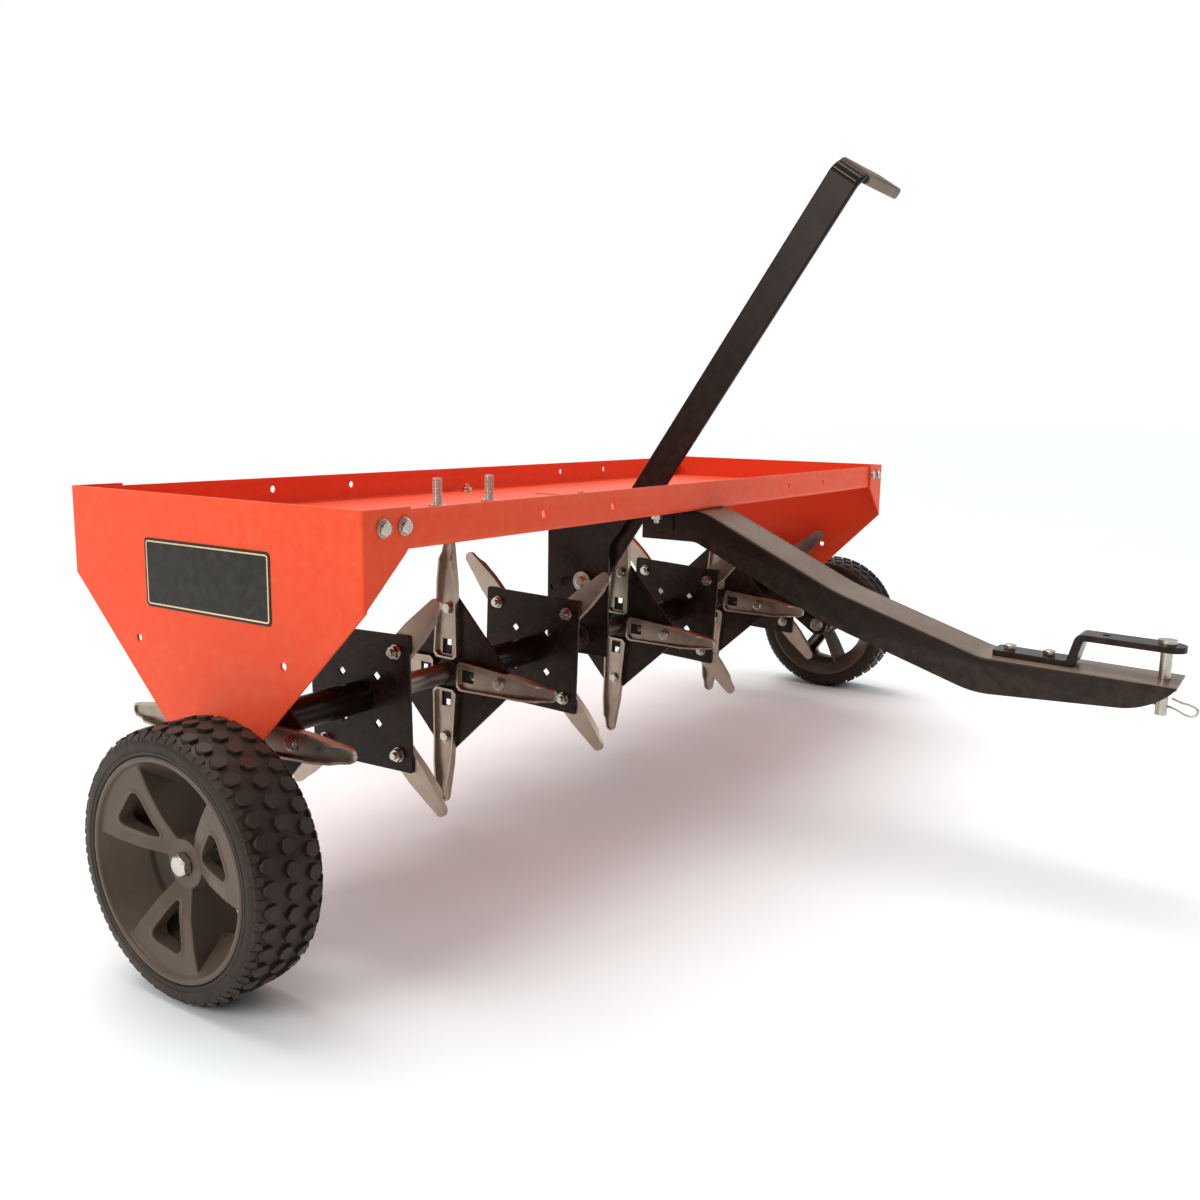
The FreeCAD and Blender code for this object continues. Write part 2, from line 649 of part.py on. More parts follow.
def rim():
    """The left rim: a waisted barrel, three hollow spokes with windows, and the hub, in one moulding."""
    back = rim_width
    ring_profile = [(0.0, 98.5), (0.0, rim_r), (tyre_bead, rim_r), (tyre_bead, barrel_r), (back - tyre_bead, barrel_r),
                    (back - tyre_bead, rim_r), (back, rim_r), (back, 98.5), (back - 3.0, 96.5),
                    (41.5, waist_r), (37.5, waist_r), (3.0, 97.0)]
    shape = wheel_revolve(ring_profile)
    hub_depth = tyre_x[1] - hub_x[1]
    front = [(hub_depth, 0.0), (hub_depth, 22.0), (12.5, 46.0), (6.5, 74.0), (4.0, 97.0)]
    spoke_back = [(50.0, 90.0), (58.0, 84.0), (62.0, 24.0), (62.0, 0.0)]
    web = wheel_revolve(front + spoke_back)
    hollow = wheel_revolve([(depth + spoke_skin, r) for depth, r in front[1:]] + [(80.0, 97.0), (80.0, 22.0)])
    bead = wheel_revolve([(depth - 1.0, r) for depth, r in front[1:]] + [(20.0, 97.0), (26.0, 22.0)])
    for angle in spoke_angles:
        spoke = web.common(sector(angle, spoke_half_angle, 0.0, 97.2))
        spoke = spoke.cut(hollow.common(sector(angle, spoke_half_angle, 26.0, 84.0, spoke_wall)))
        spoke = spoke.fuse(bead.common(window(angle, 2.6)))
        shape = shape.fuse(spoke.cut(window(angle, 0.0)))
    hub = rod((-hub_x[1], wheel_y, wheel_z), (1, 0, 0), hub_r, hub_x[1] - hub_x[0])
    boss = rod((-hub_x[1], wheel_y, wheel_z), (1, 0, 0), 23.0, 12.0)
    shape = shape.fuse(hub).fuse(boss)
    bore = rod((-tyre_x[1] - 5.0, wheel_y, wheel_z), (1, 0, 0), hub_bore, 100.0)
    return shape.cut(bore).removeSplitter()


def wheel_bushings():
    """Two plastic bushings pressed into the left hub."""
    shapes = []
    for low in (-hub_x[1], -hub_x[0] - 16.0):
        shapes.append(ring((low, wheel_y, wheel_z), (1, 0, 0), hub_bore, wheel_bolt_r + fit_gap, 16.0))
    return shapes


# ---------------------------------------------------------------- tine spools


def tine():
    """One coring tine on the +X face of a plate, lying along +Y from the shaft's centre line."""
    root, tip = tine_root_radius, tine_tip_radius
    height = 20.0

    def outline(x, inset):
        nose = tine_tip_half - inset
        far = tip - inset
        near = root + inset
        flank = tine_root_half - inset
        chamfer = 5.0
        knee_y, knee = tine_knee[0], tine_knee[1] - inset
        side = [V(x, near, -flank + chamfer), V(x, near + chamfer, -flank),
                V(x, knee_y, -knee), V(x, far - nose, -nose)]
        other = [V(x, point.y, -point.z) for point in reversed(side)]
        edges = [Part.Arc(side[-1], V(x, far, 0), other[0]).toShape()]
        for run in (side, other):
            edges += [Part.LineSegment(run[i], run[i + 1]).toShape() for i in range(3)]
        edges.append(Part.LineSegment(other[-1], side[0]).toShape())
        return Part.Wire(Part.__sortEdges__(edges))

    outer = Part.Face(outline(0.0, 0.0)).extrude(V(height, 0, 0))
    inner = Part.Face(outline(tine_wall, tine_wall)).extrude(V(height, 0, 0))
    shape = outer.cut(inner)
    wall_tops = [(7.5, root - 5.0), (8.0, 90.0), (11.0, tip - 26.0), (6.0, tip - 17.0), (4.5, tip + 1.0)]
    above = [V(x, y, -30.0) for x, y in wall_tops] + [V(30.0, tip + 1.0, -30.0), V(30.0, root - 5.0, -30.0)]
    trim = Part.Face(Part.makePolygon(above + [above[0]])).extrude(V(0, 0, 60.0))
    shape = shape.cut(trim)
    half_long, half_wide = tine_hole_size[0] / 2.0, tine_hole_size[1] / 2.0
    square = box((-1.0, tine_hole_radius - half_long, -half_wide),
                 (tine_wall + 1.0, tine_hole_radius + half_long, half_wide))
    hole = rod((-1.0, tine_bolt_radius, 0.0), (1, 0, 0), small_bolt_r + 0.3, tine_wall + 2.0)
    return shape.cut(square).cut(hole).removeSplitter()


def plate_places():
    """Each tine plate as spool number, centre x, side of its tines and turn of its tines."""
    centres = [-x for x in plate_x] + list(reversed(plate_x))
    places = []
    for i, x in enumerate(centres):
        even = i % 2 == 0
        places.append((i // 2, x, -1.0 if even else 1.0, 0.0 if even else 45.0))
    return places


def spool_places(spool):
    return [place for place in plate_places() if place[0] == spool]


def spool_body(spool):
    """Two tine plates welded to a tube."""
    places = spool_places(spool)
    low, high = places[0][1], places[1][1]
    half_plate = sheet / 2.0
    shape = ring((low, axle_y, axle_z), (1, 0, 0), spool_tube_r, bushing_r + 0.02, high - low)
    for _, x, _, turn in places:
        corner = plate_half
        outline = [(axle_y - corner, axle_z - corner), (axle_y + corner, axle_z - corner),
                   (axle_y + corner, axle_z + corner), (axle_y - corner, axle_z + corner)]
        disc = plate_yz(outline, plate_corner_r, x - half_plate, x + half_plate)
        cutters = [rod((x - 5.0, axle_y, axle_z), (1, 0, 0), bushing_r + 0.02, 10.0)]
        for i in range(4):
            angle = 45.0 + 90.0 * i
            y = axle_y + tine_bolt_radius * math.cos(math.radians(angle))
            z = axle_z + tine_bolt_radius * math.sin(math.radians(angle))
            cutters.append(rod((x - 5.0, y, z), (1, 0, 0), small_bolt_r + 0.3, 10.0))
            half = plate_hole_size / 2.0
            middle = axle_y + plate_hole_radius
            square = box((x - 5.0, middle - half, axle_z - half), (x + 5.0, middle + half, axle_z + half))
            cutters.append(turned_x(square, angle))
        disc = disc.cut(Part.makeCompound(cutters))
        shape = shape.fuse(turned_x(disc, turn - 45.0))
    return turned_x(shape.removeSplitter(), spool_rest_deg[spool])


def around_plate(spool, make):
    """Copies of one part at each tine place.  make(side) draws it for a plate centred at x = 0."""
    shapes = []
    for _, x, side, turn in spool_places(spool):
        for i in range(4):
            shape = make(side)
            shape.translate(V(x, axle_y, axle_z))
            shapes.append(turned_x(shape, turn + 90.0 * i + spool_rest_deg[spool]))
    return shapes


def spool_tines(spool):
    half_plate = sheet / 2.0

    def make(side):
        shape = tine()
        if side < 0.0:
            shape = shape.mirror(V(0, 0, 0), V(1, 0, 0))
        shape.translate(V(side * half_plate, 0, 0))
        return shape

    return around_plate(spool, make)


def spool_bolts(spool):
    """Tine bolts, heads in the tines' channels."""
    def make(side):
        under = (side * (sheet / 2.0 + tine_wall), tine_bolt_radius, 0.0)
        return bolt(under, (-side, 0, 0), small_bolt_r, 17.0, small_nut_af, 5.0, 8.2)

    return around_plate(spool, make)


def spool_nuts(spool):
    def make(side):
        face = (-side * sheet / 2.0, tine_bolt_radius, 0.0)
        return nut(face, (-side, 0, 0), small_bolt_r, small_nut_af, 7.0, 8.5)

    return around_plate(spool, make)


def spool_bushings(spool):
    """A flanged nylon bushing in each end of the spool's tube."""
    places = spool_places(spool)
    shapes = []
    for _, x, side, _ in places:
        face = x + side * sheet / 2.0
        flange = rod((face, axle_y, axle_z), (side, 0, 0), spool_tube_r - 0.3, spool_cap)
        barrel = rod((face, axle_y, axle_z), (-side, 0, 0), bushing_r, 20.0)
        hole = rod((face - 40.0, axle_y, axle_z), (1, 0, 0), shaft_r + fit_gap, 80.0)
        shapes.append(flange.fuse(barrel).cut(hole).removeSplitter())
    return shapes


# ---------------------------------------------------------------- tongue and hitch
def tongue_path():
    """The tongue's top line, from under the tray to the nose, as (y, z) points with corner radii."""
    points = [(tongue_rear_y, rail_bottom_z), (-222.0, rail_bottom_z), (-410.0, 316.0), (-590.0, 257.5), tongue_nose]
    return points, [0.0, 70.0, 300.0, 62.0, 0.0]


def offset_line(points, distance):
    """The line moved square to itself by a distance, to its left."""
    moved = []
    count = len(points)
    for i, (y, z) in enumerate(points):
        dirs = []
        for j in (i - 1, i):
            if 0 <= j < count - 1:
                dy = points[j + 1][0] - points[j][0]
                dz = points[j + 1][1] - points[j][1]
                size = math.hypot(dy, dz)
                dirs.append((dy / size, dz / size))
        ny = sum(-d[1] for d in dirs)
        nz = sum(d[0] for d in dirs)
        size = math.hypot(ny, nz)
        ny, nz = ny / size, nz / size
        stretch = 1.0
        if len(dirs) == 2:
            stretch = 1.0 / (ny * -dirs[0][1] + nz * dirs[0][0])
        moved.append((y + ny * distance * stretch, z + nz * distance * stretch))
    return moved


def tongue_slab(top, bottom, half_width):
    """The tongue's side outline between two depths below its top line, widened to half_width."""
    points, radii = tongue_path()
    upper = offset_line(points, top)
    lower = offset_line(points, bottom)
    signs = (0.0, -1.0, 1.0, 1.0, 0.0)
    upper_radii = [r + sign * top for r, sign in zip(radii, signs)]
    lower_radii = [r + sign * bottom for r, sign in zip(radii, signs)]
    outline = upper + lower[::-1]
    rounded = upper_radii + lower_radii[::-1]
    return plate_yz(outline, rounded, -half_width, half_width)


def tongue():
    """The drawbar: an inverted channel that dips from the tray to the hitch."""
    half = tongue_width / 2.0
    skin = 3.0
    outer = tongue_slab(0.0, tongue_depth, half)
    hollow = tongue_slab(skin, tongue_depth + 5.0, half - skin)
    shape = outer.cut(hollow)
    nose_y, nose_z = tongue_nose
    side = -half - 1.0
    bend_y, bend_z = tongue_path()[0][-2]
    top = V(side, nose_y + 1.0, nose_z - 3.2)
    middle = V(side, nose_y + 23.0, nose_z - 21.0)
    foot = V(side, nose_y + 52.0, nose_z - nose_depth)
    bend = V(side, bend_y, bend_z - tongue_depth - 1.0)
    low_back = V(side, bend_y, bend_z - 2.0 * tongue_depth)
    low_front = V(side, nose_y - 5.0, low_back.z)
    high_front = V(side, nose_y - 5.0, nose_z - 3.2)
    edges = [Part.Arc(top, middle, foot).toShape()]
    corners = [foot, bend, low_back, low_front, high_front, top]
    edges += [Part.LineSegment(p, q).toShape() for p, q in zip(corners[:-1], corners[1:])]
    shape = shape.cut(Part.Face(Part.Wire(edges)).extrude(V(2.0 * half + 2.0, 0, 0)))
    cutters = [rod((0.0, pin_y, nose_z - 30.0), (0, 0, 1), pin_r + 0.6, 60.0)]
    for y in strap_bolt_y:
        cutters.append(rod((0.0, y, nose_z - 30.0), (0, 0, 1), small_bolt_r + 0.3, 60.0))
    for x, y in tongue_floor_bolts():
        cutters.append(rod((x, y, rail_bottom_z - 12.0), (0, 0, 1), floor_bolt_r + 0.3, 14.0))
    shape = shape.cut(Part.makeCompound(cutters))
    rounding = [e for e in shape.Edges if long_top_edge(e, half)]
    return shape.makeFillet(2.8, rounding) if rounding else shape


def long_top_edge(edge, half):
    """True for the outer edges along the tongue's top line."""
    if edge.Length < 20.0:
        return False
    points, _ = tongue_path()
    middle = edge.valueAt((edge.FirstParameter + edge.LastParameter) / 2.0)
    if abs(abs(middle.x) - half) > 0.01:
        return False
    best = 1e9
    for (y0, z0), (y1, z1) in zip(points[:-1], points[1:]):
        along = ((middle.y - y0) * (y1 - y0) + (middle.z - z0) * (z1 - z0)) / ((y1 - y0) ** 2 + (z1 - z0) ** 2)
        along = min(1.0, max(0.0, along))
        best = min(best, math.hypot(middle.y - y0 - along * (y1 - y0), middle.z - z0 - along * (z1 - z0)))
    return best < 12.0


def tongue_brackets():
    """Two angle brackets that hang the tongue's side walls from the tray's floor."""
    x, y = tongue_bolt_xy
    top = rail_bottom_z
    skin = 4.0
    wall = tongue_width / 2.0
    wing = box((wall, y - 16.0, top - skin), (x + 18.0, y + 42.0, top))
    leg = box((wall, y - 4.0, top - 30.0), (wall + skin, y + 42.0, top))
    hole = rod((x, y, top - 6.0), (0, 0, 1), floor_bolt_r + 0.3, 8.0)
    return both_sides(wing.fuse(leg).cut(hole).removeSplitter())


def floor_bolt_hardware():
    """Bolts and nuts through the tray's floor: brackets, tongue and hanger."""
    x, y = tongue_bolt_xy
    seats = [(-x, y, 4.0), (x, y, 4.0)] + [(px, py, 3.0) for px, py in tongue_floor_bolts()]
    bolts, nuts = [], []
    for px, py, under in seats:
        bolts.append(bolt((px, py, tray_floor_z), (0, 0, -1), floor_bolt_r, 19.0, small_nut_af, 5.0, 8.5))
        nuts.append(nut((px, py, rail_bottom_z - under), (0, 0, -1), floor_bolt_r, small_nut_af, 7.0, 8.5))
    for px, py in hanger_bolt_xy:
        seat = rail_bottom_z - hanger_flange
        bolts.append(bolt((px, py, seat), (0, 0, 1), floor_bolt_r, 19.0, small_nut_af, 5.0, 8.5))
        nuts.append(nut((px, py, tray_floor_z), (0, 0, 1), floor_bolt_r, small_nut_af, 7.0, 8.5))
    return bolts, nuts


def ballast_studs():
    """Two threaded posts in the tray that hold a ballast block down."""
    return [rod((x, stud_y, tray_floor_z), (0, 0, 1), stud_r, 41.0) for x in stud_x]


def ballast_nuts():
    return [nut((x, stud_y, tray_floor_z), (0, 0, 1), stud_r, 19.0, 9.0) for x in stud_x]


def tongue_top_at(y):
    """Height of the tongue's flat front part at y."""
    points, _ = tongue_path()
    (y0, z0), (y1, z1) = points[-2], points[-1]
    return z0 + (z1 - z0) * (y - y0) / (y1 - y0)


def hitch_strap():
    """The bent clevis strap bolted on the tongue's front."""
    y_back, y_step, y_tip = -600.0, -690.0, -801.0
    rise = 32.0
    lean = 8.0

    def top(y, lift):
        return tongue_top_at(y) + 0.05 + lift

    lower = [(y_back, top(y_back, 0.0)), (y_step, top(y_step, 0.0)),
             (y_step - lean, top(y_step - lean, rise)), (y_tip, top(y_tip, rise))]
    upper = [(y_tip, top(y_tip, rise + strap_thick)), (y_step - lean + 8.0, top(y_step, rise + strap_thick)),
             (y_step + 8.5, top(y_step, strap_thick)), (y_back, top(y_back, strap_thick))]
    radii = [0.0, 9.0, 3.0, 0.0, 0.0, 9.0, 3.0, 0.0]
    half = strap_width / 2.0
    shape = plate_yz(lower + upper, radii, -half, half)
    plan = [V(-half, y_back, 0.0), V(-half, y_tip, 0.0), V(half, y_tip, 0.0), V(half, y_back, 0.0)]
    outline = Part.Face(rounded_wire(plan, [3.0, half - 0.5, half - 0.5, 3.0])).extrude(V(0, 0, 600.0))
    shape = shape.common(outline)
    cutters = [rod((0.0, pin_y, 200.0), (0, 0, 1), pin_r + 0.6, 200.0),
               rod((0.0, spare_hole_y, 200.0), (0, 0, 1), spare_hole_r, 200.0)]
    for y in strap_bolt_y:
        cutters.append(rod((0.0, y, 200.0), (0, 0, 1), small_bolt_r + 0.3, 200.0))
    return shape.cut(Part.makeCompound(cutters)).removeSplitter()


def hitch_bolts():
    shapes = []
    for y in strap_bolt_y:
        top = tongue_top_at(y) + strap_thick + 0.4
        shapes.append(bolt((0.0, y, top), (0, 0, -1), small_bolt_r, 24.0, small_nut_af, 5.5))
    return shapes


def hitch_nuts():
    nuts = []
    for y in strap_bolt_y:
        under = (0.0, y, tongue_top_at(y) - 3.5)
        nuts.append(nut(under, (0, 0, -1), small_bolt_r, small_nut_af, 7.0, 8.5))
    return nuts


def hitch_pin():
    """The headed clevis pin with a cross hole for its clip."""
    head_z = tongue_top_at(pin_y) + 32.0 + strap_thick + 0.6
    shape = rod((0.0, pin_y, head_z - 80.0), (0, 0, 1), pin_r, 80.0)
    shape = shape.fuse(rod((0.0, pin_y, head_z), (0, 0, 1), 10.0, 4.5))
    hole = rod((0.0, pin_y + 10.0, clip_z()), (0, -1, 0), 2.0, 20.0)
    return shape.cut(hole).removeSplitter()


def clip_z():
    return tongue_top_at(pin_y) - 30.0


def hitch_clip():
    """The wire hairpin through the pin's cross hole."""
    wire_r = 1.5
    z = clip_z()
    y0 = pin_y
    points = [V(0, y0 + 12.0, z), V(0, y0 - 12.0, z), V(0, y0 - 24.0, z - 8.0), V(0, y0 - 34.0, z - 3.0),
              V(0, y0 - 35.0, z + 4.5), V(0, y0 - 24.0, z + 9.5), V(0, y0 - 12.5, z + 9.5)]
    solids = []
    for a, b in zip(points[:-1], points[1:]):
        span = b - a
        solids.append(Part.makeCylinder(wire_r, span.Length, a, span))
    shape = solids[0]
    for solid in solids[1:]:
        shape = shape.fuse(solid)
    for point in points[1:-1]:
        shape = shape.fuse(Part.makeSphere(wire_r, point))
    return shape


# ---------------------------------------------------------------- assembly
def build():
    """Every sub-part: node name to its list of solids."""
    panel = end_panel()
    left_rim, left_tyre, left_bush = rim(), tyre(), wheel_bushings()
    floor_bolt_set, floor_nut_set = floor_bolt_hardware()
    arm = wheel_arm()
    nodes = {
        "tray": [tray()],
        "left_end_panel": [panel],
        "right_end_panel": [mirrored_x(panel)],
        "side_badges": both_sides(badge()),
        "panel_bolts": panel_bolts(),
        "panel_nuts": panel_nuts(),
        "center_hanger": [hanger()],
        "shaft_bushings": shaft_bushings(),
        "tongue": [tongue()],
        "tongue_brackets": tongue_brackets(),
        "floor_bolts": floor_bolt_set,
        "floor_nuts": floor_nut_set,
        "ballast_studs": ballast_studs(),
        "ballast_nuts": ballast_nuts(),
        "hitch_strap": [hitch_strap()],
        "hitch_bolts": hitch_bolts(),
        "hitch_nuts": hitch_nuts(),
        "hitch_pin": [hitch_pin()],
        "hitch_clip": [hitch_clip()],
        "rock_shaft": [rock_shaft()],
        "shaft_spacers": shaft_spacers(),
        "shaft_bolts": shaft_bolts(),
        "shaft_nuts": shaft_nuts(),
        "lift_crank": [lift_crank()],
        "lift_lever": [lift_lever()],
        "lever_grip": [lever_grip()],
        "lever_bolts": lever_bolts(),
        "lever_nuts": lever_nuts(),
        "lever_rollers": clamp_roller(),
        "left_wheel_arm": [arm],
        "right_wheel_arm": [mirrored_x(arm)],
        "wheel_bolts": wheel_bolts(),
        "wheel_nuts": wheel_nuts(),
        "left_rim": [left_rim],
        "left_tyre": [left_tyre],
        "left_wheel_bushings": left_bush,
        "right_rim": [mirrored_x(left_rim)],
        "right_tyre": [mirrored_x(left_tyre)],
        "right_wheel_bushings": [mirrored_x(s) for s in left_bush],
    }
    for spool in range(4):
        name = "spool_%d" % (spool + 1)
        nodes[name + "_frame"] = [spool_body(spool)]
        nodes[name + "_tines"] = spool_tines(spool)
        nodes[name + "_bolts"] = spool_bolts(spool)
        nodes[name + "_nuts"] = spool_nuts(spool)
        nodes[name + "_bushings"] = spool_bushings(spool)
    return nodes


def main():
    os.makedirs("parts", exist_ok=True)
    nodes = build()
    everything = Part.makeCompound([s for shapes in nodes.values() for s in shapes])
    whole = everything.BoundBox
    shift = V(0, -(whole.YMin + whole.YMax) / 2.0, -whole.ZMin)
    print("shift along Y %.4f, along Z %.4f" % (shift.y, shift.z))
    print("box", whole.XMin, whole.XMax, whole.YMin, whole.YMax, whole.ZMin, whole.ZMax)
    for name, shapes in nodes.items():
        shape = shapes[0] if len(shapes) == 1 else Part.makeCompound(shapes)
        shape.translate(shift)
        if not shape.isValid():
            print("not valid:", name)
        print(name, len(shape.Solids), round(shape.Volume / 1000.0, 1))
        shape.exportStep(os.path.join("parts", name + ".step"))


main()
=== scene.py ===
import json
import math

import bmesh
import bpy
from mathutils import Matrix, Vector


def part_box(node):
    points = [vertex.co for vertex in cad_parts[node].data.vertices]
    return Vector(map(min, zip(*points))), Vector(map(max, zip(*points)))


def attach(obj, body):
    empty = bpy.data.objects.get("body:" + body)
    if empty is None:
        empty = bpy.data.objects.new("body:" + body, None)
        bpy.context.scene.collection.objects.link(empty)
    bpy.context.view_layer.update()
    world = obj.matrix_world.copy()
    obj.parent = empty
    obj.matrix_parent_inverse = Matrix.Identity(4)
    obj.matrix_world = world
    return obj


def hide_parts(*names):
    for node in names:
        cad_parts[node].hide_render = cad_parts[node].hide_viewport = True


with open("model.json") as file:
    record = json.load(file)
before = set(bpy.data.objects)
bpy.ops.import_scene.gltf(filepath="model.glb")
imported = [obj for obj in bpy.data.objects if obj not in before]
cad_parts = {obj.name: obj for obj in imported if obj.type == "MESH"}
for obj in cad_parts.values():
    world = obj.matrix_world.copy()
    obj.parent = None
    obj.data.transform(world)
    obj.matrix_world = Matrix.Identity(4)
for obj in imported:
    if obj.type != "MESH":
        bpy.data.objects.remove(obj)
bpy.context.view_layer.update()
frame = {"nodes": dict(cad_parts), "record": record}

record = frame["record"]
NODES = frame["nodes"]
BODY = {node: body for body, nodes in record["behaviour"]["bodies"].items() for node in nodes}
SLOT = {part["node"]: part["material_slot"] for part in record["subparts"]}
MM = 0.001


# ------------------------------------------------------------------ small helpers
def size_of(node):
    """Lowest corner, highest corner and centre of a CAD node."""
    low, high = (Vector(c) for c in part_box(node))
    return low, high, (low + high) / 2.0


def add_mesh(name, mesh):
    piece = bpy.data.objects.new(name, mesh)
    bpy.context.scene.collection.objects.link(piece)
    return piece


def from_bmesh(name, bm):
    mesh = bpy.data.meshes.new(name)
    bmesh.ops.recalc_face_normals(bm, faces=bm.faces)
    bm.to_mesh(mesh)
    bm.free()
    return add_mesh(name, mesh)


def bake(piece):
    """Applies the piece's modifiers."""
    graph = bpy.context.evaluated_depsgraph_get()
    mesh = bpy.data.meshes.new_from_object(piece.evaluated_get(graph))
    piece.modifiers.clear()
    piece.data = mesh
    return piece


def smooth(piece, degrees=35.0):
    """Smooth shading that stays crisp over edges sharper than an angle."""
    for face in piece.data.polygons:
        face.use_smooth = True
    piece.data.set_sharp_from_angle(angle=math.radians(degrees))
    return piece


def paint(piece, material):
    piece.data.materials.clear()
    piece.data.materials.append(material)
    return piece


# ------------------------------------------------------------------ procedural materials
class Shader:
    """A node material with short calls for the nodes used here."""

    def __init__(self, name, **sockets):
        self.material = bpy.data.materials.new(name)
        self.material.use_nodes = True
        self.tree = self.material.node_tree
        self.bsdf = self.tree.nodes["Principled BSDF"]
        for key, value in sockets.items():
            self.bsdf.inputs[key.replace("_", " ")].default_value = value
        self.coord = self.tree.nodes.new("ShaderNodeTexCoord").outputs["Object"]

    def put(self, socket, value):
        if isinstance(value, bpy.types.NodeSocket):
            self.tree.links.new(value, socket)
        elif hasattr(value, "__len__") and len(value) == 3 and socket.type == "RGBA":
            socket.default_value = (*value, 1.0)
        else:
            socket.default_value = value

    def stretch(self, scale):
        node = self.tree.nodes.new("ShaderNodeMapping")
        node.inputs["Scale"].default_value = scale
        self.tree.links.new(self.coord, node.inputs["Vector"])
        return node.outputs["Vector"]

    def noise(self, scale, detail=3.0, rough=0.55, vector=None):
        node = self.tree.nodes.new("ShaderNodeTexNoise")
        node.inputs["Scale"].default_value = scale
        node.inputs["Detail"].default_value = detail
        node.inputs["Roughness"].default_value = rough
        self.tree.links.new(vector or self.coord, node.inputs["Vector"])
        return node.outputs["Fac"]

    def cells(self, scale, vector=None):
        node = self.tree.nodes.new("ShaderNodeTexVoronoi")
        node.inputs["Scale"].default_value = scale
        self.tree.links.new(vector or self.coord, node.inputs["Vector"])
        return node.outputs["Distance"]

    def remap(self, value, low, high, to_low=0.0, to_high=1.0):
        node = self.tree.nodes.new("ShaderNodeMapRange")
        for socket, item in zip(list(node.inputs)[:5], (value, low, high, to_low, to_high)):
            self.put(socket, item)
        return node.outputs["Result"]

    def math(self, operation, a, b=0.0):
        node = self.tree.nodes.new("ShaderNodeMath")
        node.operation = operation
        self.put(node.inputs[0], a)
        self.put(node.inputs[1], b)
        return node.outputs[0]

    def mix(self, factor, a, b):
        node = self.tree.nodes.new("ShaderNodeMix")
        node.data_type = "RGBA"
        self.put(node.inputs[0], factor)
        self.put(node.inputs[6], a)
        self.put(node.inputs[7], b)
        return node.outputs[2]

    def edges(self, low, high):
        """1 on convex edges and 0 on flats."""
        node = self.tree.nodes.new("ShaderNodeNewGeometry")
        return self.remap(node.outputs["Pointiness"], low, high)

    def axis(self, name):
        node = self.tree.nodes.new("ShaderNodeSeparateXYZ")
        self.tree.links.new(self.coord, node.inputs[0])
        return node.outputs[name]

    def facing_up(self):
        node = self.tree.nodes.new("ShaderNodeNewGeometry")
        split = self.tree.nodes.new("ShaderNodeSeparateXYZ")
        self.tree.links.new(node.outputs["Normal"], split.inputs[0])
        return self.remap(split.outputs["Z"], 0.6, 1.0)

    def bump(self, height, strength, distance, normal=None):
        node = self.tree.nodes.new("ShaderNodeBump")
        node.inputs["Strength"].default_value = strength
        node.inputs["Distance"].default_value = distance
        self.tree.links.new(height, node.inputs["Height"])
        if normal is not None:
            self.tree.links.new(normal, node.inputs["Normal"])
        return node.outputs["Normal"]

    def finish(self, color, rough, normal=None):
        self.put(self.bsdf.inputs["Base Color"], color)
        self.put(self.bsdf.inputs["Roughness"], rough)
        if normal is not None:
            self.tree.links.new(normal, self.bsdf.inputs["Normal"])
        return self.material


def painted(name, color, deep, worn, rough, coat, shine, tint=(1.0, 0.86, 0.76, 1.0), creases_and_painted_sheen=False):
    """Powder coat: slow drifts of tone, fine orange peel, dust, and paler edges; with the crease switch on, also two
    crease lines and a painted sheen that lightens the upward faces.
    """
    s = Shader(name, Coat_Weight=coat, Coat_Roughness=0.12, IOR=1.5, Specular_IOR_Level=shine, Specular_Tint=tint)
    tone = s.mix(s.remap(s.noise(2.2, 3.0), 0.3, 0.7), deep, color)
    dust = s.math("MULTIPLY", s.remap(s.noise(310.0, 2.0), 0.62, 0.74), s.remap(s.noise(14.0), 0.4, 0.75))
    tone = s.mix(s.math("MULTIPLY", dust, 0.04), tone, (0.40, 0.34, 0.29))
    rub = s.math("MULTIPLY", s.edges(0.515, 0.56), s.remap(s.noise(90.0, 4.0), 0.35, 0.75, 0.1, 0.7))
    tone = s.mix(rub, tone, worn)
    gloss = s.remap(s.noise(28.0, 4.0), 0.3, 0.7, rough - 0.04, rough + 0.06)
    gloss = s.math("ADD", gloss, s.math("MULTIPLY", dust, 0.15))
    normal = s.bump(s.noise(620.0, 2.0, 0.5), 0.05, 0.0003)
    if creases_and_painted_sheen:
        x = s.math("ABSOLUTE", s.axis("X"))
        inner = s.remap(s.math("ABSOLUTE", s.math("SUBTRACT", x, 0.0322)), 0.0, 0.0006, 1.0, 0.0)
        outer = s.remap(s.math("ABSOLUTE", s.math("SUBTRACT", x, 0.0350)), 0.0, 0.0006, 1.0, 0.0)
        line = s.math("MULTIPLY", s.math("ADD", inner, outer), s.facing_up())
        normal = s.bump(line, 0.9, 0.0006, normal)
        # painted sheen: upward faces are lightened towards warm brown, standing in for the reflection along the top
        # faces
        bright = s.math("MULTIPLY", s.facing_up(), s.remap(s.noise(9.0, 3.0), 0.3, 0.7, 0.65, 0.95))
        tone = s.mix(bright, tone, (0.25, 0.165, 0.112))
    return s.finish(tone, gloss, normal)


